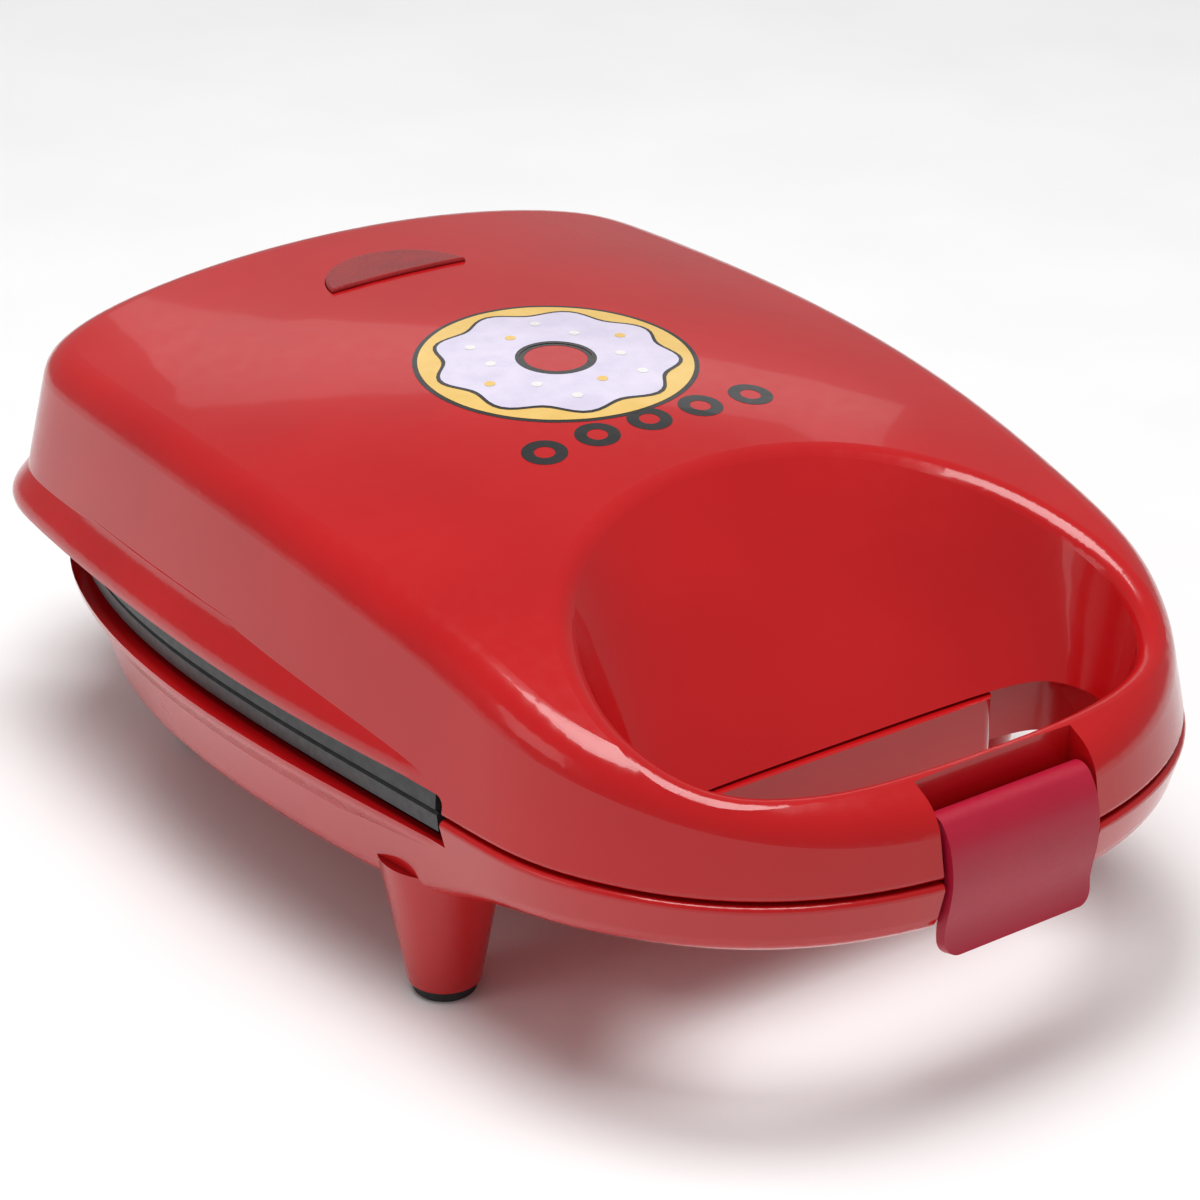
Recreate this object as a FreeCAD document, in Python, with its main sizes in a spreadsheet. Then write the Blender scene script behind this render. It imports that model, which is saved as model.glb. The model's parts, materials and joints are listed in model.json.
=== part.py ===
"""Donut maker: a clamshell with a hinged lid, two four-cup cooking plates, a latch and four legs.

Local coordinates of every sub-part, in millimetres: x to the right, y from the front edge of the
parting plane towards the hinge, z up from the parting plane.  Each sub-part's Placement then stands
the whole object on the floor, with its origin under the middle of its box.
"""
import FreeCAD, Part
import math
import os
from FreeCAD import Placement, Rotation, Vector

doc = FreeCAD.newDocument("donut_maker")
sheet = doc.addObject("Spreadsheet::Sheet", "sizes")

SIZES = {
    # overall
    "parting_height": 48.3, "centre_back": 128.0, "half_width": 81.4, "shell_length": 245.0,
    "wall": 2.4, "split": 0.3, "wall_draft": 0.1836, "base_draft": 0.25, "crease_radius": 8.4,
    "gap_front": 69.0, "lid_rim": 4.0, "base_rim": 6.0, "dome_radius": 349.3, "dome_rise": 9.05,
    # finger opening and latch notch
    "notch_half": 17.6, "notch_depth": 10.6, "cheek_half": 21.5, "cheek_depth": 14.0,
    # latch
    "latch_half": 16.6, "latch_y": 6.2, "latch_z": 7.4, "eye_radius": 3.3,
    "latch_pin_radius": 1.2, "latch_pin_half": 20.4,
    # hinge
    "hinge_y": 251.0, "knuckle_radius": 4.5, "hinge_pin_radius": 1.6, "lid_knuckle_in": 28.0,
    "knuckle_split": 40.3, "base_knuckle_out": 54.0,
    # cooking plates
    "cup_spacing": 36.0, "plate_centre": 156.0, "ring_radius": 21.0, "cup_radius": 12.0,
    "cup_wall": 2.3, "plate_face": 0.15, "flange": 4.0, "plate_front": 71.5,
    "tube_radius": 3.3, "tube_level": 16.4, "tube_end": 226.0, "bed_half": 5.0, "bed_level": 15.4,
    "shield_level": 20.8, "shield_sheet": 0.8, "shield_half": 46.0, "shield_front": 79.8,
    "shield_back": 225.6,
    # legs and pads
    "leg_top": 12.0, "leg_foot": 7.0, "pad_radius": 6.0, "pad_height": 2.6,
    "front_leg_x": 63.0, "front_leg_y": 88.0, "back_leg_x": 50.0, "back_leg_y": 198.0,
    # screws
    "screw_radius": 1.5, "head_radius": 2.8, "head_height": 2.0,
    # lens and lamps
    "lens_radius": 16.5, "lens_centre": 196.7, "lens_front": 198.5, "lens_gap": 0.2,
    "lens_proud": 0.9, "lens_edge": 0.6,
    # supply
    "gland_x": -16.0, "gland_z": -18.0, "gland_bore": 2.9, "gland_radius": 5.0,
}
for row, (alias, value) in enumerate(SIZES.items(), start=1):
    sheet.set(f"A{row}", alias)
    sheet.set(f"B{row}", str(value))
    sheet.setAlias(f"B{row}", alias)
doc.recompute()


def size(alias):
    """The number in the sheet's cell of this name."""
    return float(sheet.get(alias))


def assign(item, **values):
    """Set properties to numbers, or bind them to the sheet where the value is text."""
    for prop, value in values.items():
        if isinstance(value, str):
            item.setExpression(prop, value)
        else:
            setattr(item, prop, value)
    return item


# ---------------------------------------------------------------- general helpers

X_AXIS, Y_AXIS, Z_AXIS = Vector(1, 0, 0), Vector(0, 1, 0), Vector(0, 0, 1)
ALONG = {"x": Rotation(Z_AXIS, X_AXIS), "y": Rotation(Z_AXIS, Y_AXIS), "z": Rotation()}
SUB_PARTS = []


def box(name, low, high):
    """Box between two corners."""
    item = doc.addObject("Part::Box", name)
    assign(item, Length=high[0] - low[0], Width=high[1] - low[1], Height=high[2] - low[2])
    item.Placement = Placement(Vector(*low), Rotation())
    return item


def cylinder(name, start, radius, length, along="z"):
    """Cylinder from its start point along an axis; radius and length may name cells."""
    item = doc.addObject("Part::Cylinder", name)
    assign(item, Radius=radius, Height=length)
    item.Placement = Placement(Vector(*start), ALONG[along])
    return item


def cone(name, start, radius_1, radius_2, height):
    """Upright cone frustum."""
    item = doc.addObject("Part::Cone", name)
    assign(item, Radius1=radius_1, Radius2=radius_2, Height=height)
    item.Placement = Placement(Vector(*start), Rotation())
    return item


def fuse(name, *items):
    """Union of several objects."""
    item = doc.addObject("Part::MultiFuse", name)
    item.Shapes = list(items)
    item.Refine = False
    return item


def cut(name, base, *tools):
    """Base with the tools taken out of it."""
    item = doc.addObject("Part::Cut", name)
    item.Base = base
    item.Tool = tools[0] if len(tools) == 1 else fuse(name + "_tools", *tools)
    item.Refine = False
    return item


def common(name, *items):
    """What all the objects share."""
    item = doc.addObject("Part::MultiCommon", name)
    item.Shapes = list(items)
    item.Refine = False
    return item


def rounded(name, base, rules):
    """Fillet by rules of (edge filter, radius at the edge's front end, radius at its back end)."""
    doc.recompute()
    item = doc.addObject("Part::Fillet", name)
    item.Base = base
    edges = []
    for number, edge in enumerate(base.Shape.Edges, start=1):
        for pick, front, back in rules:
            if pick(edge):
                forward = edge.firstVertex().Point.y <= edge.lastVertex().Point.y
                edges.append((number, front, back) if forward else (number, back, front))
                break
    item.Edges = edges
    return item


def group(name, *items):
    """Several separate solids in one object."""
    item = doc.addObject("Part::Compound", name)
    item.Links = list(items)
    return item


def sub_part(label, item):
    """Name an object as a sub-part and stand it in the object's own frame."""
    item.Label = label
    turn = item.Placement.Rotation
    base = item.Placement.Base
    item.Placement = Placement(base, turn)
    item.setExpression("Placement.Base.x", str(base.x))
    item.setExpression("Placement.Base.y", f"{base.y} - sizes.centre_back")
    item.setExpression("Placement.Base.z", f"{base.z} + sizes.parting_height")
    SUB_PARTS.append(item)
    return item


def curve_sketch(name, curves, at=Placement()):
    """Sketch that holds these curves."""
    sketch = doc.addObject("Sketcher::SketchObject", name)
    sketch.addGeometry(curves, False)
    sketch.Placement = at
    return sketch


def polygon(points):
    """Closed run of straight lines through points of a sketch plane."""
    vectors = [Vector(x, y, 0) for x, y in points]
    return [Part.LineSegment(a, b) for a, b in zip(vectors, vectors[1:] + vectors[:1])]


def loft(name, sketches, ruled=True):
    """Solid through closed sketches."""
    item = doc.addObject("Part::Loft", name)
    item.Sections = sketches
    item.Solid = True
    item.Ruled = ruled
    return item


def extruded(name, sketch, direction, length):
    """Solid of a closed sketch pushed along a direction."""
    item = doc.addObject("Part::Extrusion", name)
    item.Base = sketch
    item.DirMode = "Custom"
    item.Dir = direction
    item.Solid = True
    assign(item, LengthFwd=length)
    return item


# ---------------------------------------------------------------- outlines shared by both shells

WALL = size("wall")
OUTLINE = [(0, 0), (40.2, 0), (73.6, 37.4), (74.2, 63.3), (82.6, 123.2), (80.9, 221.4),
           (75, 245), (0, 245)]
BASE_OUTLINE = OUTLINE[:5] + [(84, 200), (56, 245), (0, 245)]
BEAD_OUTLINE = OUTLINE[:2] + [(71, 37.4), (71.5, 63.3), (83.6, 123.2)] + OUTLINE[5:]
LIP_OUTLINE = BEAD_OUTLINE[:5] + BASE_OUTLINE[5:]
OPENING_LOW = [(0, 15.2), (28, 15.2), (50, 25), (50, 50), (36, 50), (0, 50)]
OPENING_HIGH = [(0, 9), (36, 9), (62.5, 26), (61.5, 62), (37, 92.5), (0, 92.5)]
OPENING_RISE = 40.0


def mirrored_curve(poles):
    """Closed curve from the control points of its right half."""
    spans = len(poles) - 3
    curves = []
    for side in (1, -1):
        curve = Part.BSplineCurve()
        curve.buildFromPolesMultsKnots([Vector(side * x, y, 0) for x, y in poles],
                                       [4] + [1] * (spans - 1) + [4], list(range(spans + 1)), False, 3)
        curves.append(curve)
    return curves


def shell_outline(name, outline, level, inset):
    """Outline at a level, drawn in towards the middle by an inset."""
    middle = size("shell_length") / 2
    x_scale = 1 - inset / size("half_width")
    y_scale = 1 - inset / middle
    poles = [(x * x_scale, middle + (y - middle) * y_scale) for x, y in outline]
    return curve_sketch(name, mirrored_curve(poles), Placement(Vector(0, 0, level), Rotation()))


def prism(name, outline, *rings, ruled=True):
    """Loft of an outline through (level, inset) rings."""
    sections = [shell_outline(f"{name}_{i}", outline, *ring) for i, ring in enumerate(rings)]
    return loft(name, sections, ruled)


def opening_tool(name, low, high, grow):
    """Solid of the finger opening between two levels, grown outwards by a wall."""
    sketches = []
    for level in (low, high):
        part = level / OPENING_RISE
        poles = []
        for index, ((x0, y0), (x1, y1)) in enumerate(zip(OPENING_LOW, OPENING_HIGH)):
            x, y = x0 + (x1 - x0) * part, y0 + (y1 - y0) * part
            y += (-grow if index < 3 else grow)
            x += grow if index in (2, 3) else 0
            poles.append((x, y))
        sketches.append(curve_sketch(f"{name}_{len(sketches)}", mirrored_curve(poles),
                                     Placement(Vector(0, 0, level), Rotation())))
    return loft(name, sketches)


def crown_height(y):
    """Height of the lid's crease above the parting plane at a distance from the front."""
    t = y / size("shell_length")
    weights = ((1 - t) ** 3, 3 * t * (1 - t) ** 2, 3 * t * t * (1 - t), t ** 3)
    return sum(w * h for w, h in zip(weights, (1.67, 44.1, 36.3, 33.2)))


def under_dome(name, drop):
    """Everything below the lid's crowned top, lowered by drop."""
    radius, reach, floor = size("dome_radius"), 95.0, -60.0
    sections = []
    for index, y in enumerate((-12.0, 35.0, 95.0, 175.0, 257.0)):
        top = crown_height(y) + size("dome_rise") - drop
        edge = top - radius + math.sqrt(radius ** 2 - reach ** 2)
        corners = [Vector(-reach, edge, 0), Vector(-reach, floor, 0), Vector(reach, floor, 0),
                   Vector(reach, edge, 0)]
        curves = [Part.LineSegment(a, b) for a, b in zip(corners, corners[1:])]
        curves.append(Part.Arc(corners[3], Vector(0, top, 0), corners[0]))
        sections.append(curve_sketch(f"{name}_{index}", curves,
                                     Placement(Vector(0, y, 0), Rotation(X_AXIS, 90))))
    return loft(name, sections, ruled=False)


def crease(edge):
    """Edges where the lid's wall meets its crown."""
    bounds = edge.BoundBox
    return bounds.ZMin > 4 and bounds.XLength > 5 and bounds.YLength > 200


def opening_rim(edge):
    """Edges where the finger opening meets the lid's crown."""
    bounds = edge.BoundBox
    return bounds.ZMin > 8 and bounds.XLength > 20 and 40 < bounds.YLength < 110


def front_top_edge(edge):
    """The long upper edge at the front of a gap box."""
    bounds = edge.BoundBox
    return bounds.YMax < 80 and bounds.XLength > 100 and bounds.ZMin > 0


def both_sides(make):
    """Run a maker for the right (1) and left (-1) side and give back both results."""
    return [make(side) for side in (1, -1)]


# ---------------------------------------------------------------- lid shell

LID_RIM = size("lid_rim")
FACE = size("plate_face")
FLANGE_TOP = LID_RIM - 0.05
PLATE_Y = size("plate_centre")
CUP = size("cup_spacing")
LID_SCREWS = [(-62, 85), (62, 85), (-56, 226), (56, 226)]
WIDE = 120.0
REAR = 280.0


def knuckle(name, side, inner, outer, web):
    """Hinge barrel with a web that joins it to a back wall."""
    low = inner if side > 0 else -outer
    barrel = cylinder(name + "_barrel", (low, size("hinge_y"), 0), "sizes.knuckle_radius",
                      outer - inner, "x")
    plane = Placement(Vector(low, 0, 0), Rotation(Vector(0, 1, 0), Vector(0, 0, 1), Vector(1, 0, 0)))
    arm = extruded(name + "_web", curve_sketch(name + "_side", polygon(web), plane), X_AXIS,
                   outer - inner)
    return fuse(name, barrel, arm)


def lens_shape(name, grow, low, high):
    """D-shaped prism of the indicator window, grown by a gap."""
    disc = cylinder(name + "_disc", (0, size("lens_centre"), low), size("lens_radius") + grow, high - low)
    front = box(name + "_front", (-30, size("lens_front") - grow, low), (30, 230, high))
    return common(name, disc, front)


def parting_edge(edge):
    """Outline edges next to the parting plane."""
    bounds = edge.BoundBox
    return abs(bounds.Center.z) < 0.5 and bounds.ZLength < 0.1 and bounds.YLength > 200


draft = size("wall_draft")
SPLIT = size("split")
CREASE = size("crease_radius")
RIM_FRONT, RIM_BACK = 2.0, 6.0
BEAD_RINGS = [(LID_RIM - 1, -0.2), (LID_RIM + 1.5, -0.6), (LID_RIM + 4.5, 0.8), (LID_RIM + 9, 2.9)]
lid_block = common("lid_block", prism("lid_wall", OUTLINE, (SPLIT, 0.3), (60, 0.3 + 60 * draft)),
                   under_dome("lid_roof", 0.0))
lid_core = cut("lid_core", lid_block, opening_tool("lid_opening", -4, 50, 0))
lid_creased = rounded("lid_creased", lid_core, [(crease, CREASE, CREASE)])
lid_rimmed = rounded("lid_rimmed", lid_creased, [(opening_rim, RIM_FRONT, RIM_BACK)])
lid_soft = rounded("lid_soft", lid_rimmed, [(parting_edge, 1.0, 1.0)])
lid_bead = common("lid_bead", prism("bead", BEAD_OUTLINE, *BEAD_RINGS, ruled=False),
                  box("bead_reach", (-WIDE, size("gap_front") + 1.5, 0), (WIDE, REAR, 30)))
lid_gap = rounded("lid_gap", box("lid_gap_box", (-WIDE, size("gap_front"), -5), (WIDE, REAR, LID_RIM)),
                  [(front_top_edge, 2.0, 2.0)])
lid_cavity = common("lid_cavity", prism("lid_inside", OUTLINE, (-3, 0.3 + WALL - 3 * draft),
                                        (60, 0.3 + WALL + 60 * draft)),
                    under_dome("lid_ceiling", WALL))
lid_cheek = box("lid_cheek", (-size("cheek_half"), -5, -5), (size("cheek_half"), size("cheek_depth"), 30))
lid_bosses = [cylinder(f"lid_boss_{i}", (x, y, LID_RIM), 4.2, 40) for i, (x, y) in enumerate(LID_SCREWS)]
lid_hollow = cut("lid_hollow", lid_cavity, opening_tool("lid_opening_wall", -4, 50, WALL), lid_cheek,
                 *lid_bosses)
lid_notch = box("lid_notch", (-size("notch_half"), -5, -5), (size("notch_half"), size("notch_depth"), 30))
lid_pin_bore = cylinder("lid_pin_bore", (-20.5, size("latch_y"), size("latch_z")),
                        size("latch_pin_radius") + 0.01, 41, "x")
lid_window = lens_shape("lid_window", 0, 30, 60)
lid_screw_bores = [cylinder(f"lid_screw_bore_{i}", (x, y, 0), size("screw_radius") + 0.02, 13)
                   for i, (x, y) in enumerate(LID_SCREWS)]
LID_WEB = [(241.5, 4.2), (246.5, 0.6), (248, -0.4), (255.2, 1.6), (246.5, 13), (241.5, 13)]
lid_knuckles = both_sides(lambda side: knuckle(f"lid_knuckle_{side + 1}", side, size("lid_knuckle_in"),
                                               size("knuckle_split") - 0.3, LID_WEB))
lid_hinge_bore = cylinder("lid_hinge_bore", (-60, size("hinge_y"), 0), size("hinge_pin_radius") + 0.05,
                          120, "x")
lid_solid = cut("lid_solid", fuse("lid_outside", lid_soft, lid_bead), lid_gap, lid_hollow, lid_notch,
                lid_window)
sub_part("lid_cover", cut("lid_cover", fuse("lid_with_knuckles", lid_solid, *lid_knuckles),
                          lid_pin_bore, lid_hinge_bore, *lid_screw_bores))

# ---------------------------------------------------------------- base shell

BASE_RIM = size("base_rim")
LIP_RINGS = [(-4, -0.1), (-7.5, -0.5), (-10, 0.9), (-12, 2.0)]
base_draft = size("base_draft")
BASE_SEATS = [(-18, 75.5, -16.5), (18, 75.5, -16.5), (-50, 222, -18.5), (50, 222, -18.5)]
BASE_SCREWS = [(x, y) for x, y, seat in BASE_SEATS]
UNDERSIDE = [(-12, -11.5), (30, -11.5), (62, -13), (82, -27), (130, -27.5), (257, -30.5)]
LEGS = [(size("front_leg_x"), size("front_leg_y")), (-size("front_leg_x"), size("front_leg_y")),
        (size("back_leg_x"), size("back_leg_y")), (-size("back_leg_x"), size("back_leg_y"))]
FLOOR = -size("parting_height")
PAD_TOP = FLOOR + size("pad_height")


def above_underside(name, lift):
    """Everything above the base's underside curve, raised by lift."""
    curve = Part.BSplineCurve()
    poles = [Vector(y, z + lift, 0) for y, z in UNDERSIDE]
    curve.buildFromPolesMultsKnots(poles, [4, 1, 1, 4], [0, 1, 2, 3], False, 3)
    corners = [poles[-1], Vector(poles[-1].x, 20, 0), Vector(poles[0].x, 20, 0), poles[0]]
    lines = [Part.LineSegment(p, q) for p, q in zip(corners, corners[1:])]
    side_plane = Placement(Vector(-WIDE, 0, 0), Rotation(Vector(0, 1, 0), Vector(0, 0, 1), Vector(1, 0, 0)))
    return extruded(name, curve_sketch(name + "_side", [curve] + lines, side_plane), X_AXIS, 2 * WIDE)


def bottom_edge(edge):
    """Edges where the base's wall meets its underside."""
    bounds = edge.BoundBox
    return bounds.ZMax < -8 and bounds.YLength > 200 and bounds.XLength > 5


def pan_edge(edge):
    """Upright and lower edges of the belly pan."""
    bounds = edge.BoundBox
    return bounds.ZLength > 5 or bounds.ZMax < -20


def base_opening(name, grow):
    """Finger opening of the base, a little wider at its back corners."""
    poles = [(0, 15.2 - grow), (28, 15.2 - grow), (51 + grow, 25 - grow), (55 + grow, 57 + grow),
             (42, 57 + grow), (0, 57 + grow)]
    sketch = curve_sketch(name + "_outline", mirrored_curve(poles), Placement(Vector(0, 0, -60), Rotation()))
    return extruded(name, sketch, Z_AXIS, 64)


base_wall = common("base_wall", prism("base_walls", BASE_OUTLINE, (-SPLIT, -0.3),
                                      (-60, -0.3 + 60 * base_draft)),
                   above_underside("base_under", 0))
base_lip = common("base_lip", prism("base_bead", LIP_OUTLINE, *LIP_RINGS, ruled=False),
                  box("base_lip_reach", (-WIDE, size("gap_front"), -12), (WIDE, REAR, -BASE_RIM)))
base_soft = rounded("base_soft", base_wall, [(bottom_edge, 6.0, 6.0), (parting_edge, 1.0, 1.0)])
pan_outer = rounded("pan_outer", box("pan_outer_box", (-50, 76, -27), (50, 180, -15)), [(pan_edge, 3.0, 3.0)])
pan_inner = box("pan_inner", (-48, 78, -24.8), (48, 177, -10))
base_cavity = common("base_cavity", prism("base_inside", BASE_OUTLINE, (2, WALL - 0.3 - 2 * base_draft),
                                          (-60, WALL - 0.3 + 60 * base_draft)),
                     above_underside("base_floor", WALL))
base_cheek = box("base_cheek", (-size("cheek_half"), -5, -30), (size("cheek_half"), size("cheek_depth"), 5))
base_bosses = [cylinder(f"base_boss_{i}", (x, y, -30), 4.2, 15.5) for i, (x, y) in enumerate(BASE_SCREWS)]
base_plinth = box("base_plinth", (9, 226, -28.5), (29, 232.5, -20.2))
base_filled = fuse("base_filled", base_soft, pan_outer)
base_hollow = cut("base_hollow", cut("base_behind", base_cavity, base_opening("base_opening_wall", WALL)),
                  base_cheek)
base_shell = fuse("base_lipped", cut("base_skin", base_soft, base_hollow),
                  cut("base_lip_ring", base_lip, base_cavity))
base_shell = cut("base_holed", base_shell, base_opening("base_opening", 0))
base_shell = fuse("base_panned", cut("base_floorless", base_shell, pan_inner),
                  cut("pan_ring", cut("pan_tray", pan_outer, pan_inner), base_cavity))
for i, (x, y) in enumerate(LEGS):
    leg_top = -18.5 if i < 2 else -24
    leg = cone(f"leg_{i}", (x, y, PAD_TOP), "sizes.leg_foot", "sizes.leg_top", leg_top - PAD_TOP)
    hollow = cone(f"leg_hollow_{i}", (x, y, PAD_TOP + 3), size("leg_foot") - WALL,
                  size("leg_top") - WALL, leg_top + 1.5 - PAD_TOP - 3)
    base_shell = fuse(f"base_legged_{i}", cut(f"base_bored_{i}", base_shell, hollow),
                      cut(f"leg_ring_{i}", leg, hollow))
for i, boss in enumerate(base_bosses + [base_plinth]):
    base_shell = fuse(f"base_bossed_{i}", base_shell, common(f"base_post_{i}", boss, base_filled))
base_gap = box("base_gap", (-WIDE, size("gap_front"), -BASE_RIM), (WIDE, REAR, 5))
base_notch = box("base_notch", (-size("notch_half"), -5, -30), (size("notch_half"), size("notch_depth"), 5))
base_catch = box("base_catch", (-13, 7.3, -8), (13, size("notch_depth") + 1, -4.6))
front_wall = rounded("front_wall", box("front_wall_box", (-35, 48.5, -13.2), (35, 60, -SPLIT)),
                     [(lambda e: e.BoundBox.ZLength > 5 and e.BoundBox.YMax < 50, 3.0, 3.0)])
BASE_WEB = [(229, -20), (240, -17), (246, -13), (254.9, -2), (247.4, -1.4), (243.4, -6.4), (234, -8),
            (232.8, -14.4), (229, -14.4)]
base_knuckles = both_sides(lambda side: knuckle(f"base_knuckle_{side + 1}", side,
                                                size("knuckle_split") + 0.3, size("base_knuckle_out"),
                                                BASE_WEB))
base_hinge_bore = cylinder("base_hinge_bore", (-60, size("hinge_y"), 0), size("hinge_pin_radius") + 0.01,
                           120, "x")
base_screw_bores = [fuse(f"base_screw_bore_{i}", cylinder(f"shank_bore_{i}", (x, y, -30), 1.7, 20),
                         cylinder(f"head_bore_{i}", (x, y, seat - 15), 3.2, 15))
                    for i, (x, y, seat) in enumerate(BASE_SEATS)]
gland_bore = cylinder("gland_bore", (size("gland_x"), 230, size("gland_z")), size("gland_radius") + 0.02,
                      20, "y")
base_solid = cut("base_solid", cut("base_stepped", base_shell, base_gap), base_notch)
base_all = fuse("base_all", base_solid, base_catch, front_wall, *base_knuckles)
sub_part("base_cover", cut("base_cover", base_all, base_hinge_bore, gland_bore, *base_screw_bores))

# ---------------------------------------------------------------- cooking plates

RING, CUP_RADIUS, CUP_WALL = size("ring_radius"), size("cup_radius"), size("cup_wall")
TUBE_Z, TUBE_RADIUS = size("tube_level"), size("tube_radius")
CUPS = [(x, PLATE_Y + y) for x in (-CUP, CUP) for y in (-CUP, CUP)]
MIDDLE_POSTS = [(0, 95), (0, 226.5)]
UPPER_POSTS = MIDDLE_POSTS + [(-60, PLATE_Y), (60, PLATE_Y)]
ARC_Y = PLATE_Y - CUP
THERMO_POSTS = [(-11.5, PLATE_Y), (11.5, PLATE_Y)]
THERMO_Z = 7.15


def torus(name, centre, ring, radius):
    """Ring about Z."""
    item = doc.addObject("Part::Torus", name)
    assign(item, Radius1=ring, Radius2=radius)
    item.Placement = Placement(Vector(*centre), Rotation())
    return item


def hairpin(name, radius, end):
    """Round tube that runs down one side, round the front cups and back up the other side."""
    bend = torus(name + "_ring", (0, ARC_Y, TUBE_Z), "sizes.cup_spacing", radius)
    front = common(name + "_bend", bend, box(name + "_half", (-60, ARC_Y - 60, 0), (60, ARC_Y, 40)))
    legs = [cylinder(f"{name}_leg_{i}", (x, ARC_Y, TUBE_Z), radius, end - ARC_Y, "y")
            for i, x in enumerate((-CUP, CUP))]
    return fuse(name, front, *legs)


def flipped(name, item, lower):
    """The item itself, or its mirror image below the parting plane for the base."""
    if not lower:
        return item
    image = doc.addObject("Part::Mirroring", name)
    image.Source = item
    image.Base = Vector()
    image.Normal = Z_AXIS
    return image


def cooking_plate(name, rim, screws, posts, shield_places, lower):
    """Cast plate with four half-round ring cups, a bed for the element and screw posts."""
    flange = common(name + "_flange", prism(name + "_rim", BASE_OUTLINE, *rim),
                    box(name + "_reach", (-WIDE, size("plate_front"), 0), (WIDE, REAR, 20)))
    above_face = box(name + "_above", (-WIDE, 0, FACE), (WIDE, REAR, 60))
    cup_bodies = [torus(f"{name}_cup_{i}", (x, y, 0), RING, CUP_RADIUS + CUP_WALL)
                  for i, (x, y) in enumerate(CUPS)]
    cups = common(name + "_cups", fuse(name + "_cup_rings", *cup_bodies), above_face)
    half = size("bed_half")
    bed_top = size("bed_level")
    bed_ring = cut(name + "_bed_ring",
                   cylinder(name + "_bed_outer", (0, ARC_Y, FACE + 1), CUP + half, bed_top - FACE - 1),
                   cylinder(name + "_bed_inner", (0, ARC_Y, 0), CUP - half, 40))
    bed_front = common(name + "_bed_front", bed_ring,
                       box(name + "_bed_half", (-60, ARC_Y - 60, 0), (60, ARC_Y, 40)))
    bed_legs = [box(f"{name}_bed_leg_{i}", (x - half, ARC_Y, FACE + 1), (x + half, 222, bed_top))
                for i, x in enumerate((-CUP, CUP))]
    shield_posts = [cylinder(f"{name}_post_{i}", (x, y, FACE + 1), 4, size("shield_level") - FACE - 1)
                    for i, (x, y) in enumerate(shield_places)]
    body = fuse(name + "_body", flange, cups, bed_front, *bed_legs, *shield_posts, *posts)
    hollows = [torus(f"{name}_hollow_{i}", (x, y, 0), RING, "sizes.cup_radius")
               for i, (x, y) in enumerate(CUPS)]
    shield_bores = [cylinder(f"{name}_post_bore_{i}", (x, y, size("shield_level") - 8),
                             size("screw_radius") + 0.02, 10) for i, (x, y) in enumerate(shield_places)]
    plate = cut(name + "_cast", body, fuse(name + "_hollows", *hollows))
    plate = cut(name + "_grooved", plate, hairpin(name + "_groove", TUBE_RADIUS + 0.04, 224))
    plate = cut(name + "_drilled", plate, fuse(name + "_bores", *shield_bores, *screws))
    return flipped(name, plate, lower)


UPPER_RIM = [(FACE, 1.6), (FACE + 0.5, 1.1), (FLANGE_TOP, 1.3)]
LOWER_RIM = [(FACE, 1.9), (FACE + 0.5, 1.4), (FLANGE_TOP, 1.7)]
upper_holes = [fuse(f"upper_hole_{i}", cylinder(f"upper_shank_hole_{i}", (x, y, -1), 1.7, 8),
                    cylinder(f"upper_head_hole_{i}", (x, y, -1), 3.1, 3.4))
               for i, (x, y) in enumerate(LID_SCREWS)]
thermo_posts = [cylinder(f"thermo_post_{i}", (x, y, FACE + 1), 2.4, THERMO_Z - FACE - 1)
                for i, (x, y) in enumerate(THERMO_POSTS)]
thermo_bores = [cylinder(f"thermo_bore_{i}", (x, y, 3), 1.02, 10) for i, (x, y) in enumerate(THERMO_POSTS)]
sub_part("upper_plate", cooking_plate("upper_plate", UPPER_RIM, upper_holes + thermo_bores, thermo_posts,
                                      UPPER_POSTS, False))

LOWER_POST = 13.8
lower_posts = [cylinder(f"lower_post_{i}", (x, y, FACE + 1), 4.2, LOWER_POST - FACE - 1)
               for i, (x, y) in enumerate(BASE_SCREWS)]
lower_bores = [cylinder(f"lower_bore_{i}", (x, y, 6), size("screw_radius") + 0.02, 20)
               for i, (x, y) in enumerate(BASE_SCREWS)]
sub_part("lower_plate", cooking_plate("lower_plate", LOWER_RIM, lower_bores, lower_posts, MIDDLE_POSTS,
                                      True))

# ---------------------------------------------------------------- heating elements and shields

TUBE_END = size("tube_end")
PIN_END = TUBE_END + 8


def heating_element(name, lower):
    """Hairpin tube with insulated cold ends."""
    ends = [fuse(f"{name}_end_{i}", cylinder(f"{name}_bush_{i}", (x, TUBE_END, TUBE_Z), 2.6, 2.5, "y"),
                 cylinder(f"{name}_pin_{i}", (x, TUBE_END, TUBE_Z), 1.4, PIN_END - TUBE_END - 1.5, "y"))
            for i, x in enumerate((-CUP, CUP))]
    element = fuse(name + "_tube", hairpin(name + "_hairpin", "sizes.tube_radius", TUBE_END), *ends)
    return flipped(name, element, lower)


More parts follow.
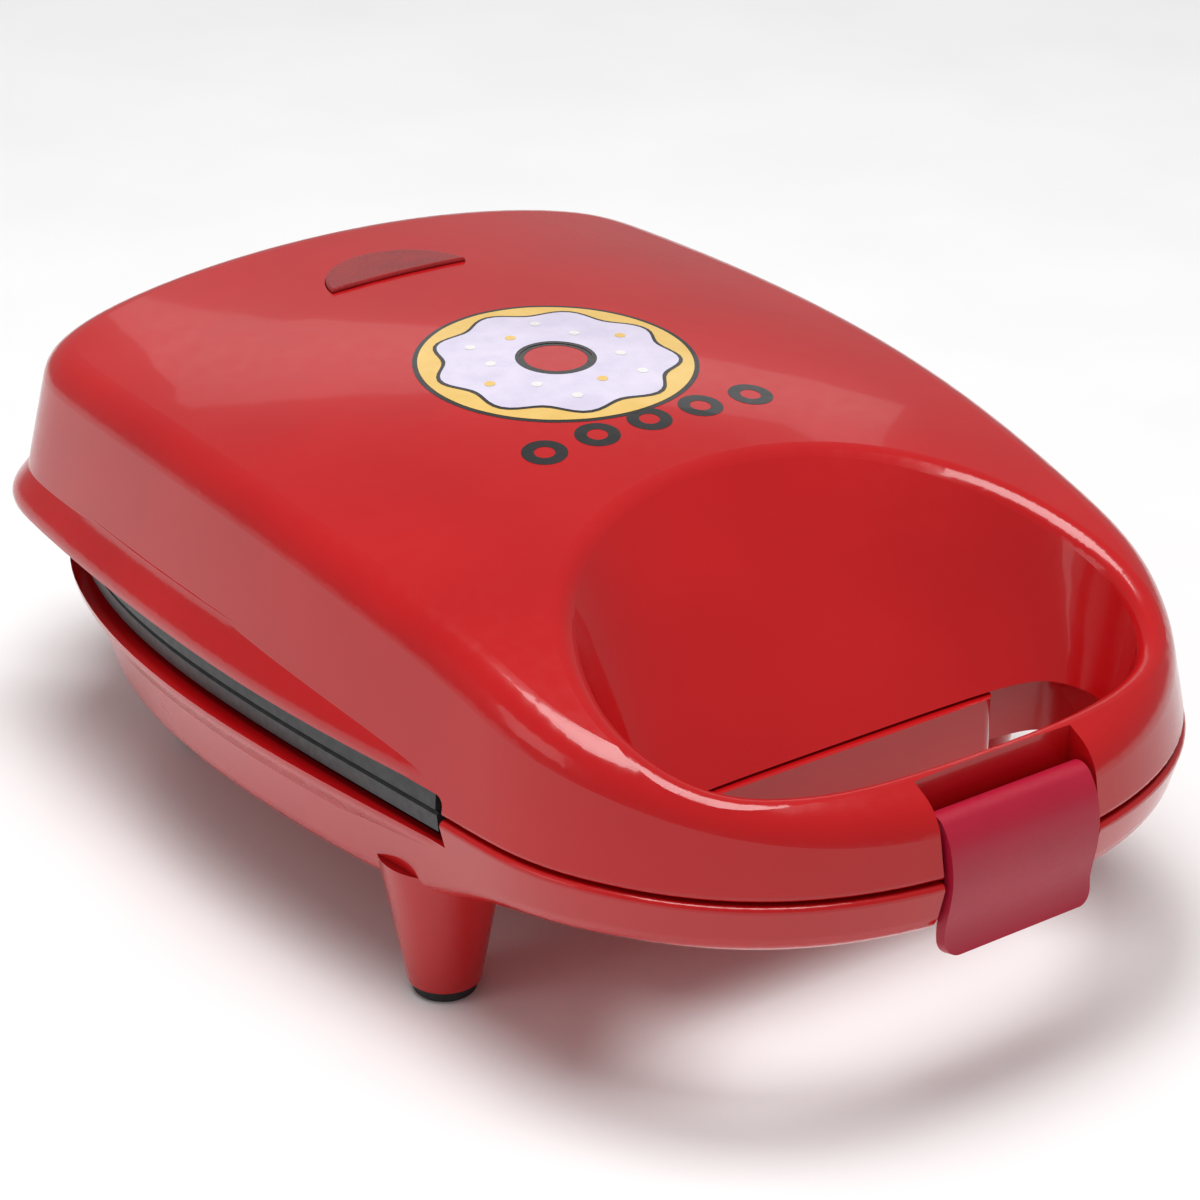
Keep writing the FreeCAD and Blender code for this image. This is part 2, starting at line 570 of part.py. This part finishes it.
def heat_shield(name, places, lower):
    """Bent sheet over the element, with a centre hole and an ear round each side screw."""
    level, sheet_t = size("shield_level"), size("shield_sheet")
    half, front, back = size("shield_half"), size("shield_front"), size("shield_back")
    tray = box(name + "_tray", (-half, front, level - 5), (half, back, level + sheet_t))
    inside = box(name + "_inside", (-half + sheet_t, front + sheet_t, level - 6),
                 (half - sheet_t, back + 1, level))
    pieces = [cut(name + "_pan", tray, inside),
              box(name + "_tongue", (-6, back - 1, level), (6, 232.7, level + sheet_t))]
    for i, (x, y) in enumerate(places):
        if x:
            side = math.copysign(1, x)
            low, high = sorted((side * (half - 2), side * 65))
            pieces.append(box(f"{name}_ear_{i}", (low, y - 6, level), (high, y + 6, level + sheet_t)))
    holes = [cylinder(f"{name}_hole_{i}", (x, y, level - 2), 1.7, 6) for i, (x, y) in enumerate(places)]
    centre = cylinder(name + "_centre", (0, PLATE_Y, level - 2), 13, 6)
    return flipped(name, cut(name + "_sheet", fuse(name + "_blank", *pieces), centre, *holes), lower)


sub_part("upper_heater", heating_element("upper_heater", False))
sub_part("lower_heater", heating_element("lower_heater", True))
sub_part("upper_heat_shield", heat_shield("upper_heat_shield", UPPER_POSTS, False))
sub_part("lower_heat_shield", heat_shield("lower_heat_shield", MIDDLE_POSTS, True))

# ---------------------------------------------------------------- screws


def screw(name, x, y, seat, shank, radius, head, up):
    """Pan-head screw with a cross recess; the head sits beyond its seat, up or down."""
    head_z = seat if up > 0 else seat - size("head_height")
    shank_z = seat - shank if up > 0 else seat
    recess_z = seat + 0.9 if up > 0 else seat - size("head_height") - 0.1
    body = fuse(name + "_blank", cylinder(name + "_head", (x, y, head_z), head, "sizes.head_height"),
                cylinder(name + "_shank", (x, y, shank_z), radius, shank))
    arms = [box(f"{name}_recess_{i}", (x - a, y - b, recess_z), (x + a, y + b, recess_z + 1.2))
            for i, (a, b) in enumerate(((1.5, 0.35), (0.35, 1.5)))]
    return cut(name, body, *arms)


def screw_group(label, places, shank, up, radius=size("screw_radius"), head=size("head_radius")):
    """One node of identical screws, each at its (x, y, seat) place."""
    sub_part(label, group(label, *[screw(f"{label}_{i}", x, y, seat, shank, radius, head, up)
                                   for i, (x, y, seat) in enumerate(places)]))


def seated(places, seat):
    """Places with the level that their screw heads bear on."""
    return [(x, y, seat) for x, y in places]


SHIELD_SEAT = size("shield_level") + size("shield_sheet")
screw_group("upper_plate_screws", seated(LID_SCREWS, 2.4), 9.5, -1)
screw_group("base_screws", BASE_SEATS, 9.5, -1)
screw_group("upper_shield_screws", seated(UPPER_POSTS, SHIELD_SEAT), 7, 1)
screw_group("lower_shield_screws", seated(MIDDLE_POSTS, -SHIELD_SEAT), 7, -1)
screw_group("thermostat_screws", seated(THERMO_POSTS, THERMO_Z + 0.8), 4, 1, 1.0, 2.2)

# ---------------------------------------------------------------- controls and lamps

thermo_cup = cylinder("thermo_cup", (0, PLATE_Y, 4), 7.9, THERMO_Z + 4 - 4)
thermo_flange = box("thermo_flange", (-14.5, PLATE_Y - 3.5, THERMO_Z), (14.5, PLATE_Y + 3.5, THERMO_Z + 0.8))
thermo_body = cylinder("thermo_body", (0, PLATE_Y, THERMO_Z + 4), 6.8, 5.5)
thermo_tabs = both_sides(lambda side: box(f"thermo_tab_{side + 1}",
                                          (side * 4 - 0.4, PLATE_Y - 2.4, THERMO_Z + 9.4),
                                          (side * 4 + 0.4, PLATE_Y + 2.4, THERMO_Z + 16)))
thermo_holes = [cylinder(f"thermo_hole_{i}", (x, y, 0), 1.15, 20) for i, (x, y) in enumerate(THERMO_POSTS)]
sub_part("thermostat", cut("thermostat", fuse("thermo_all", thermo_cup, thermo_flange, thermo_body,
                                              *thermo_tabs), *thermo_holes))

FUSE_Z = -6.2
fuse_wires = cylinder("fuse_wires", (-13, PLATE_Y, FUSE_Z), 0.5, 26, "x")
fuse_can = cylinder("fuse_can", (-5.5, PLATE_Y, FUSE_Z), 2.0, 11, "x")
sub_part("thermal_fuse", fuse("thermal_fuse", fuse_can, fuse_wires))
clip_arch = cut("clip_arch", fuse("clip_blank", cylinder("clip_outer", (-3, PLATE_Y, FUSE_Z), 2.7, 6, "x"),
                                  box("clip_feet", (-3, PLATE_Y - 7, -4.65), (3, PLATE_Y + 7, -3.95)),
                                  box("clip_sides", (-3, PLATE_Y - 2.7, FUSE_Z), (3, PLATE_Y + 2.7, -3.95))),
                cylinder("clip_inner", (-4, PLATE_Y, FUSE_Z), 2.03, 8, "x"),
                box("clip_throat", (-4, PLATE_Y - 2.03, FUSE_Z), (4, PLATE_Y + 2.03, -3)))
sub_part("fuse_clip", clip_arch)


def lens_top_edge(edge):
    """Edges round the top of the indicator lens."""
    return edge.BoundBox.ZMin > 42


LENS_FLOOR = 38.6
lens_post = common("lens_post", lens_shape("lens_plug", -size("lens_gap"), LENS_FLOOR, 60),
                   under_dome("lens_top", -size("lens_proud")))
lens_neck = rounded("lens_neck", lens_post, [(lens_top_edge, size("lens_edge"), size("lens_edge"))])
lens_flange = common("lens_flange", lens_shape("lens_wide", 2.2, LENS_FLOOR, 60),
                     under_dome("lens_seat", WALL + 0.05))
sub_part("indicator_lens", fuse("indicator_lens", lens_neck, lens_flange))

LAMP_Y, LAMP_Z, LAMP_RADIUS = 205.2, 34.4, 3.0
holder_block = box("holder_block", (-16, 199.2, LAMP_Z - 5), (16, 211.2, LENS_FLOOR))
holder_wells = both_sides(lambda side: box(f"holder_well_{side + 1}",
                                           (1 if side > 0 else -14.5, 200.7, LAMP_Z - LAMP_RADIUS),
                                           (14.5 if side > 0 else -1, 209.7, 50)))
sub_part("lamp_holder", cut("lamp_holder", holder_block, *holder_wells))


def lamp(label, side):
    """Small glass lamp lying in its well."""
    start = 1.5 if side > 0 else -13.5
    bulb = cylinder(label + "_tube", (start + 1, LAMP_Y, LAMP_Z), LAMP_RADIUS, 10, "x")
    tips = cylinder(label + "_wires", (start, LAMP_Y, LAMP_Z), 0.5, 12, "x")
    sub_part(label, fuse(label, bulb, tips))


lamp("power_lamp", -1)
lamp("ready_lamp", 1)

# ---------------------------------------------------------------- supply and wiring

terminal_body = box("terminal_body", (9, 224.5, -20.2), (29, 233.3, -10.5))
terminal_wells = [cylinder(f"terminal_well_{i}", (x, 228.9, -12.5), 2.4, 3)
                  for i, x in enumerate((14, 24))]
terminal_ports = [cylinder(f"terminal_port_{i}", (x, 223, -16.5), 1.6, 12, "y")
                  for i, x in enumerate((14, 24))]
terminal_threads = [cylinder(f"terminal_thread_{i}", (x, 228.9, -17), 1.02, 5)
                    for i, x in enumerate((14, 24))]
sub_part("terminal_block", cut("terminal_block", terminal_body, *terminal_wells, *terminal_ports,
                               *terminal_threads))
sub_part("terminal_screws", group("terminal_screws", *[
    screw(f"terminal_screw_{i}", x, 228.9, -12.5, 2.2, 1.0, 2.2, 1) for i, x in enumerate((14, 24))]))

gland_start = (size("gland_x"), 235.5, size("gland_z"))
gland_body = cylinder("gland_body", gland_start, "sizes.gland_radius", 10.5, "y")
gland_flange = cylinder("gland_flange", (size("gland_x"), 243.6, size("gland_z")), 6.6, 1.6, "y")
gland_hole = cylinder("gland_hole", (size("gland_x"), 230, size("gland_z")), "sizes.gland_bore", 20, "y")
sub_part("cord_gland", cut("cord_gland", fuse("gland_blank", gland_body, gland_flange), gland_hole))

WIRE = 0.8


def wire(name, points, bend):
    """Insulated lead through points, with tangent arcs at its corners."""
    places = [Vector(*p) for p in points]
    edges = []
    start = places[0]
    for before, corner, after in zip(places, places[1:], places[2:]):
        arrive = corner + (before - corner).normalize() * bend
        leave = corner + (after - corner).normalize() * bend
        centre = arrive + leave - corner
        middle = centre + (corner - centre).normalize() * bend
        edges += [Part.LineSegment(start, arrive).toShape(), Part.Arc(arrive, middle, leave).toShape()]
        start = leave
    edges.append(Part.LineSegment(start, places[-1]).toShape())
    section = Part.Wire(Part.Circle(places[0], places[1] - places[0], WIRE).toShape())
    item = doc.addObject("Part::Feature", name)
    item.Shape = Part.Wire(edges).makePipeShell([section], True, False)
    return item


PIN_Z = -TUBE_Z + 1.4 + WIRE + 0.02
sub_part("base_leads", group("base_leads", *[
    wire("base_lead_right", [(29.05, 231.2, PIN_Z), (CUP, 231.2, PIN_Z)], 2),
    wire("base_lead_left", [(8.95, 231.7, PIN_Z), (-CUP, 231.7, PIN_Z)], 2)]))
TAB_TOP = THERMO_Z + 16.05
sub_part("lid_leads", group("lid_leads", *[
    wire(f"lid_lead_{side}", [(side * 4, PLATE_Y, TAB_TOP), (side * 4, PLATE_Y, TAB_TOP + 3.2),
                              (side * 4, 203, TAB_TOP + 3.2), (side * 4, 203, LAMP_Z - 5.05)], 1.8)
    for side in (-1, 1)]))

# ---------------------------------------------------------------- latch, pins and pads

LATCH_OUTER = [(3.5, 9.3), (1.9, 6.8), (0.9, 3.6), (0.5, 0.2), (0.8, -3.9), (1.5, -7.4), (2.0, -10.4),
               (1.9, -12.6), (1.2, -15.3)]
LATCH_INNER = [(3.3, -15.9), (4.2, -12.8), (4.3, -10.4), (3.9, -7.4), (3.2, -3.9), (2.9, 0.2),
               (3.3, 3.4), (4.4, 6.0), (6.2, 7.6)]


def through(points):
    """Smooth curve through points of a sketch plane."""
    curve = Part.BSplineCurve()
    curve.interpolate([Vector(y, z, 0) for y, z in points])
    return curve


def lip_corner(edge):
    """The short edges at the lower corners of the latch."""
    bounds = edge.BoundBox
    return bounds.ZMax < -13 and bounds.XLength < 0.1


LATCH_HALF = size("latch_half")
across = Placement(Vector(-LATCH_HALF, 0, 0), Rotation(Vector(0, 1, 0), Vector(0, 0, 1), Vector(1, 0, 0)))
latch_curves = [through(LATCH_OUTER),
                Part.LineSegment(Vector(*LATCH_OUTER[-1], 0), Vector(*LATCH_INNER[0], 0)),
                through(LATCH_INNER),
                Part.LineSegment(Vector(*LATCH_INNER[-1], 0), Vector(*LATCH_OUTER[0], 0))]
latch_strip = rounded("latch_strip", extruded("latch_plain", curve_sketch("latch_side", latch_curves, across),
                                              X_AXIS, 2 * LATCH_HALF), [(lip_corner, 3.0, 3.0)])
latch_eye = cylinder("latch_eye", (-LATCH_HALF, size("latch_y"), size("latch_z")), "sizes.eye_radius",
                     2 * LATCH_HALF, "x")


def hook_nose(edge):
    """Lower inner edge of the latch's hook."""
    bounds = edge.BoundBox
    return bounds.YMin > 6.9 and bounds.XLength > 5 and bounds.ZMax < -10


latch_hook = rounded("latch_hook", box("latch_hook_box", (-12, 3.2, -11), (12, 7.0, -8.4)),
                     [(hook_nose, 1.5, 1.5)])
latch_bore = cylinder("latch_bore", (-30, size("latch_y"), size("latch_z")), size("latch_pin_radius") + 0.05,
                      60, "x")
sub_part("latch", cut("latch", fuse("latch_blank", latch_strip, latch_eye, latch_hook), latch_bore))
sub_part("latch_pin", cylinder("latch_pin", (-size("latch_pin_half"), size("latch_y"), size("latch_z")),
                               "sizes.latch_pin_radius", "2 * sizes.latch_pin_half", "x"))
for label, side in (("hinge_pin_left", -1), ("hinge_pin_right", 1)):
    low = 28.2 if side > 0 else -53.8
    sub_part(label, cylinder(label, (low, size("hinge_y"), 0), "sizes.hinge_pin_radius", 25.6, "x"))

PAD_LABELS = ["foot_pad_front_right", "foot_pad_front_left", "foot_pad_back_right", "foot_pad_back_left"]
for label, (x, y) in zip(PAD_LABELS, LEGS):
    disc = cylinder(label + "_disc", (x, y, FLOOR), "sizes.pad_radius", "sizes.pad_height")
    sub_part(label, rounded(label, disc, [(lambda e: e.BoundBox.ZMax < FLOOR + 0.1, 0.7, 0.7)]))

# ---------------------------------------------------------------- finish

doc.recompute()
for item in doc.Objects:
    if "Invalid" in item.State or "Error" in item.State:
        raise SystemExit(f"{item.Name} failed: {item.State}")
for item in SUB_PARTS:
    shape = item.Shape
    print(item.Label, len(shape.Solids), round(shape.Volume))
    if shape.isNull() or not shape.isValid():
        raise SystemExit(f"{item.Label} has no valid shape")

os.makedirs("parts", exist_ok=True)
for item in SUB_PARTS:
    item.Shape.exportStep(f"parts/{item.Label}.step")
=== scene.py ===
"""Looks of the donut maker: materials, the lid's printed picture, studio and camera.

Everything is in metres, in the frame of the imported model: x to the right, y from the latch to the
hinge, z up from the surface that it stands on.
"""
import json
import math

import bmesh
import bpy
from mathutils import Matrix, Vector
from mathutils.bvhtree import BVHTree


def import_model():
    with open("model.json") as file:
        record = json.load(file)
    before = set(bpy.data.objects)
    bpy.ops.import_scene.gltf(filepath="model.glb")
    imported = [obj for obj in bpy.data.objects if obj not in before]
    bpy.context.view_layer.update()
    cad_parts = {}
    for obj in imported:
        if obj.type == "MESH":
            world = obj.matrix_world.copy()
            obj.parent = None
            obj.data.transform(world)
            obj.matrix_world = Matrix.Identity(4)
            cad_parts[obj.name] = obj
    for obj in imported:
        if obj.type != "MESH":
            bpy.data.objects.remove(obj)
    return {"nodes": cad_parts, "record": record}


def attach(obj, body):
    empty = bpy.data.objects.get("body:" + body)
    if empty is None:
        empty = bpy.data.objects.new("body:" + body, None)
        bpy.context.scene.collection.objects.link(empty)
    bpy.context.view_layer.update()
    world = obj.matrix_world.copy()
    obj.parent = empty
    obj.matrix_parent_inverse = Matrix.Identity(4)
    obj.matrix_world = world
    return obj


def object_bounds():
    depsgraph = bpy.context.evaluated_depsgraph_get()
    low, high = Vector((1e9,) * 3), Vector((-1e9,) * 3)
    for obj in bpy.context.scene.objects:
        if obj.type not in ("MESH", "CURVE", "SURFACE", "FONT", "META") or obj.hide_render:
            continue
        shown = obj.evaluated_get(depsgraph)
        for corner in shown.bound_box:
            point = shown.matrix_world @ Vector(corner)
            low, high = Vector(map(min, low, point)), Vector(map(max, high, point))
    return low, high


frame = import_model()
CAD_LOW, CAD_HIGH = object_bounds()
NODES = frame["nodes"]
SLOT_OF = {part["node"]: part["material_slot"] for part in frame["record"]["subparts"]}
MM = 0.001

# ---------------------------------------------------------------- materials


class Shader:
    """A material's node tree with short names for the nodes that the object's finishes share."""

    def __init__(self, name):
        self.material = bpy.data.materials.new(name)
        self.material.use_nodes = True
        self.tree = self.material.node_tree
        self.surface = self.tree.nodes["Principled BSDF"]
        self.place = self.node("ShaderNodeTexCoord").outputs["Object"]

    def node(self, kind, **settings):
        made = self.tree.nodes.new(kind)
        for key, value in settings.items():
            setattr(made, key, value)
        return made

    def link(self, start, end):
        self.tree.links.new(start, end)
        return end

    def set(self, **values):
        """Set the surface's own sockets; underscores stand for spaces."""
        for key, value in values.items():
            socket = self.surface.inputs[key.replace("_", " ")]
            socket.default_value = (*value, 1.0) if isinstance(value, tuple) else value

    def noise(self, size_mm, detail=2.0, roughness=0.5):
        """Noise whose features are about this many millimetres across."""
        made = self.node("ShaderNodeTexNoise")
        self.link(self.place, made.inputs["Vector"])
        made.inputs["Scale"].default_value = 1 / (size_mm * MM)
        made.inputs["Detail"].default_value = detail
        made.inputs["Roughness"].default_value = roughness
        return made.outputs["Fac"]

    def spread(self, value, low, high, start=0.3, end=0.7):
        """Map a factor from start..end onto low..high."""
        made = self.node("ShaderNodeMapRange")
        self.link(value, made.inputs["Value"])
        for key, number in (("From Min", start), ("From Max", end), ("To Min", low), ("To Max", high)):
            made.inputs[key].default_value = number
        return made.outputs["Result"]

    def blend(self, factor, first, second):
        """Colour between two colours."""
        made = self.node("ShaderNodeMix", data_type="RGBA")
        self.link(factor, made.inputs["Factor"])
        made.inputs["A"].default_value = (*first, 1.0)
        made.inputs["B"].default_value = (*second, 1.0)
        return made.outputs["Result"]

    def bump(self, *layers):
        """Stack bumps of (height, millimetres of relief)."""
        normal = None
        for height, relief_mm in layers:
            made = self.node("ShaderNodeBump")
            made.inputs["Distance"].default_value = relief_mm * MM
            self.link(height, made.inputs["Height"])
            if normal is not None:
                self.link(normal, made.inputs["Normal"])
            normal = made.outputs["Normal"]
        self.link(normal, self.surface.inputs["Normal"])
        return normal


def gloss_red():
    """Glossy moulded plastic with a faint moulding waviness under its polish."""
    s = Shader("gloss_red")
    s.link(s.blend(s.spread(s.noise(40), 0, 1), (0.46, 0.004, 0.006), (0.52, 0.006, 0.008)),
           s.surface.inputs["Base Color"])
    s.link(s.spread(s.noise(3, 3), 0.16, 0.24), s.surface.inputs["Roughness"])
    s.bump((s.noise(14, 1), 0.012), (s.noise(1.2, 1), 0.0008))
    s.set(IOR=1.5, Specular_IOR_Level=0.3, Coat_Weight=0.4, Coat_Roughness=0.04)
    return s.material


def satin_red():
    """Latch plastic: a cooler red with a fine satin grain."""
    s = Shader("satin_red")
    s.link(s.blend(s.spread(s.noise(20), 0, 1), (0.40, 0.004, 0.028), (0.45, 0.006, 0.034)),
           s.surface.inputs["Base Color"])
    s.link(s.spread(s.noise(1.0, 3), 0.36, 0.46), s.surface.inputs["Roughness"])
    s.bump((s.noise(0.35, 2), 0.006))
    return s.material


def lens_red():
    """Clear dark red plastic, stippled on its face."""
    s = Shader("lens_red")
    s.link(s.blend(s.spread(s.noise(6), 0, 1), (0.26, 0.001, 0.003), (0.34, 0.003, 0.005)),
           s.surface.inputs["Base Color"])
    s.link(s.spread(s.noise(0.5, 2), 0.12, 0.3), s.surface.inputs["Roughness"])
    s.bump((s.noise(0.45, 1), 0.05))
    s.set(Coat_Weight=0.5, Coat_Roughness=0.08)
    return s.material


def nonstick():
    """Dark cast aluminium with a non-stick coat."""
    s = Shader("nonstick")
    s.link(s.blend(s.spread(s.noise(2, 4), 0, 1), (0.020, 0.022, 0.024), (0.040, 0.042, 0.045)),
           s.surface.inputs["Base Color"])
    s.link(s.spread(s.noise(1.5, 3), 0.34, 0.48), s.surface.inputs["Roughness"])
    s.bump((s.noise(0.5, 2), 0.012))
    s.set(Metallic=0.2)
    return s.material


def metal(name, dark, light, low, high, grain_mm):
    """Bare or plated metal with an uneven polish."""
    s = Shader(name)
    s.link(s.blend(s.spread(s.noise(grain_mm * 6, 3), 0, 1), dark, light), s.surface.inputs["Base Color"])
    s.link(s.spread(s.noise(grain_mm, 3), low, high), s.surface.inputs["Roughness"])
    s.bump((s.noise(grain_mm / 2, 2), 0.004))
    s.set(Metallic=1.0)
    return s.material


def dull(name, dark, light, low, high, grain_mm, relief_mm):
    """Matt moulding or rubber with a grain."""
    s = Shader(name)
    s.link(s.blend(s.spread(s.noise(grain_mm * 8, 3), 0, 1), dark, light), s.surface.inputs["Base Color"])
    s.link(s.spread(s.noise(grain_mm * 2, 3), low, high), s.surface.inputs["Roughness"])
    s.bump((s.noise(grain_mm, 2), relief_mm))
    return s.material


def lamp_glass():
    """Clear bulb with an amber tint."""
    s = Shader("lamp_amber")
    s.link(s.blend(s.spread(s.noise(2), 0, 1), (0.85, 0.32, 0.12), (0.95, 0.50, 0.2)),
           s.surface.inputs["Base Color"])
    s.link(s.spread(s.noise(1.0, 2), 0.04, 0.12), s.surface.inputs["Roughness"])
    s.set(Transmission_Weight=0.6)
    return s.material


FINISHES = {
    "red_shell": gloss_red(),
    "red_latch": satin_red(),
    "red_lens": lens_red(),
    "nonstick_plate": nonstick(),
    "element_steel": metal("oxidised_steel", (0.16, 0.13, 0.11), (0.30, 0.27, 0.25), 0.38, 0.55, 0.8),
    "shield_sheet": metal("rolled_sheet", (0.62, 0.63, 0.64), (0.75, 0.76, 0.77), 0.22, 0.36, 1.5),
    "screw_steel": metal("zinc_plate", (0.50, 0.50, 0.50), (0.68, 0.68, 0.66), 0.26, 0.4, 0.5),
    "pin_steel": metal("drawn_steel", (0.46, 0.46, 0.47), (0.60, 0.60, 0.61), 0.2, 0.34, 0.6),
    "control_plastic": dull("dark_phenolic", (0.010, 0.010, 0.010), (0.024, 0.022, 0.020), 0.5, 0.65,
                            0.4, 0.01),
    "terminal_plastic": dull("white_moulding", (0.66, 0.64, 0.58), (0.74, 0.72, 0.66), 0.42, 0.55,
                             0.5, 0.008),
    "lamp_glass": lamp_glass(),
    "fuse_metal": metal("fuse_can", (0.55, 0.52, 0.44), (0.70, 0.67, 0.58), 0.24, 0.38, 0.4),
    "black_rubber": dull("rubber", (0.008, 0.008, 0.008), (0.018, 0.018, 0.018), 0.55, 0.75, 0.35, 0.02),
    "wire_jacket": dull("silicone_jacket", (0.55, 0.53, 0.48), (0.64, 0.62, 0.57), 0.5, 0.65, 0.3, 0.006),
}
for name, node in NODES.items():
    node.data.materials.clear()
    node.data.materials.append(FINISHES[SLOT_OF[name]])

# ---------------------------------------------------------------- printed picture on the lid

LID_FRONT_Y = -0.128
PRINT_LIFT = 0.05 * MM
PRINT_ABOVE = 0.2
BANDS = 6
LID = NODES["lid_cover"]


def lid_surface():
    """Search tree of the lid's mesh in the model's frame."""
    mesh = bmesh.new()
    mesh.from_mesh(LID.data)
    mesh.transform(LID.matrix_world)
    tree = BVHTree.FromBMesh(mesh)
    mesh.free()
    return tree


LID_TREE = lid_surface()


def printed(name, rings, lift, finish):
    """Patch draped over the lid through closed rings of (x, y) points, in millimetres from its front."""
    mesh = bmesh.new()
    rows = []
    for ring in rings:
        row = []
        for x, y in ring:
            start = Vector((x * MM, y * MM + LID_FRONT_Y, PRINT_ABOVE))
            hit, normal, _, _ = LID_TREE.ray_cast(start, Vector((0, 0, -1)))
            row.append(mesh.verts.new(hit + normal * lift))
        rows.append(row)
    for inner, outer in zip(rows, rows[1:]):
        count = len(inner)
        for i in range(count):
            mesh.faces.new((inner[i], outer[i], outer[(i + 1) % count], inner[(i + 1) % count]))
    bmesh.ops.recalc_face_normals(mesh, faces=mesh.faces)
    data = bpy.data.meshes.new(name)
    mesh.to_mesh(data)
    mesh.free()
    if data.polygons[0].normal.z < 0:
        data.flip_normals()
    for face in data.polygons:
        face.use_smooth = True
    made = bpy.data.objects.new(name, data)
    bpy.context.scene.collection.objects.link(made)
    data.materials.append(finish)
    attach(made, "lid")


def ring_points(centre, low, high, steps=96, wave=0.0, lobes=0):
    """Rings of points between two radii; the outer edge may be wavy."""
    rows = []
    for band in range(BANDS + 1):
        row = []
        for i in range(steps):
            angle = 2 * math.pi * i / steps
            edge = high + wave * math.sin(lobes * angle)
            radius = low + (edge - low) * band / BANDS
            row.append((centre[0] + radius * math.cos(angle), centre[1] + radius * math.sin(angle)))
        rows.append(row)
    return rows


def ink(name, dark, light):
    """Printing ink with a thin gloss over it."""
    s = Shader(name)
    s.link(s.blend(s.spread(s.noise(5), 0, 1), dark, light), s.surface.inputs["Base Color"])
    s.link(s.spread(s.noise(2, 3), 0.2, 0.3), s.surface.inputs["Roughness"])
    s.set(Coat_Weight=0.4, Coat_Roughness=0.06)
    return s.material


INK_DARK = ink("ink_dark", (0.010, 0.009, 0.010), (0.016, 0.014, 0.015))
INK_DOUGH = ink("ink_dough", (0.78, 0.50, 0.12), (0.84, 0.56, 0.16))
INK_ICING = ink("ink_icing", (0.66, 0.60, 0.76), (0.74, 0.68, 0.82))
INK_WHITE = ink("ink_white", (0.78, 0.77, 0.75), (0.84, 0.83, 0.81))
DONUT = (0.0, 142.0)
printed("print_outline", ring_points(DONUT, 6.2, 28.0), PRINT_LIFT, INK_DARK)
printed("print_dough", ring_points(DONUT, 7.2, 27.0), 2 * PRINT_LIFT, INK_DOUGH)
printed("print_icing_edge", ring_points(DONUT, 7.2, 23.6, wave=1.3, lobes=9), 3 * PRINT_LIFT, INK_DARK)
printed("print_icing", ring_points(DONUT, 8.0, 22.8, wave=1.3, lobes=9), 4 * PRINT_LIFT, INK_ICING)
SPRINKLES, SPRINKLE_RADIUS = 12, 1.1
for number in range(SPRINKLES):
    turn = 2 * math.pi * (number + 0.3) / SPRINKLES
    reach = 13.0 if number % 2 else 17.5
    spot = (DONUT[0] + reach * math.cos(turn), DONUT[1] + reach * math.sin(turn))
    printed(f"print_sprinkle_{number}", ring_points(spot, 0.05, SPRINKLE_RADIUS, 20), 5 * PRINT_LIFT,
            INK_WHITE if number % 3 else INK_DOUGH)
SMALL_RINGS, SMALL_STEP, SMALL_Y = 5, 12.0, 111.0
for number in range(SMALL_RINGS):
    spot = (SMALL_STEP * (number - 2), SMALL_Y)
    printed(f"print_small_ring_{number}", ring_points(spot, 2.0, 4.4, 40), PRINT_LIFT, INK_DARK)

# ---------------------------------------------------------------- studio

FLOOR_HALF = 3.0
WORLD_LIGHT = 0.3


def floor():
    """Pale floor with a faint mottle."""
    bpy.ops.mesh.primitive_plane_add(size=2 * FLOOR_HALF, location=(0, 0, 0))
    plane = bpy.context.object
    plane.name = "studio_floor"
    s = Shader("pale_floor")
    s.link(s.blend(s.spread(s.noise(60), 0, 1), (0.93, 0.93, 0.93), (0.96, 0.96, 0.96)),
           s.surface.inputs["Base Color"])
    s.set(Roughness=0.6)
    plane.data.materials.append(s.material)


def world():
    """Even pale surroundings."""
    made = bpy.data.worlds.new("studio")
    bpy.context.scene.world = made
    made.use_nodes = True
    back = made.node_tree.nodes["Background"]
    back.inputs["Color"].default_value = (1, 1, 1, 1)
    back.inputs["Strength"].default_value = WORLD_LIGHT


def softbox(name, place, aim, width, height, power):
    """Rectangular light that faces a point."""
    data = bpy.data.lights.new(name, "AREA")
    data.shape = "RECTANGLE"
    data.size, data.size_y, data.energy = width, height, power
    lamp = bpy.data.objects.new(name, data)
    bpy.context.scene.collection.objects.link(lamp)
    lamp.location = place
    lamp.rotation_euler = (Vector(aim) - Vector(place)).to_track_quat("-Z", "Y").to_euler()


CAMERA_AZIMUTH, CAMERA_ELEVATION = -35.3, 26.1
CAMERA_DISTANCE = 0.7077
CAMERA_LENS = 107.1
AIM_OFFSET = Vector((1.6, 1.4, -1.6)) * MM


def camera():
    """Camera in front, to the left and above."""
    azimuth, elevation = math.radians(CAMERA_AZIMUTH), math.radians(CAMERA_ELEVATION)
    back = Vector((math.sin(azimuth) * math.cos(elevation), -math.cos(azimuth) * math.cos(elevation),
                   math.sin(elevation)))
    data = bpy.data.cameras.new("camera")
    data.lens, data.sensor_width = CAMERA_LENS, 36.0
    made = bpy.data.objects.new("camera", data)
    bpy.context.scene.collection.objects.link(made)
    made.location = (CAD_LOW + CAD_HIGH) / 2 + AIM_OFFSET + back * CAMERA_DISTANCE
    made.rotation_euler = (-back).to_track_quat("-Z", "Y").to_euler()
    bpy.context.scene.camera = made


floor()
world()
softbox("overhead", (-0.1, -0.1, 1.5), (0, 0, 0.05), 0.9, 0.9, 21)
softbox("back_strip", (0.75, 1.1, 0.75), (0, 0, 0.08), 0.9, 0.22, 0.35)
softbox("left_fill", (-1.3, 0.2, 0.6), (0, 0, 0.05), 0.6, 0.6, 1.5)
camera()
bpy.context.scene.view_settings.view_transform = "Standard"
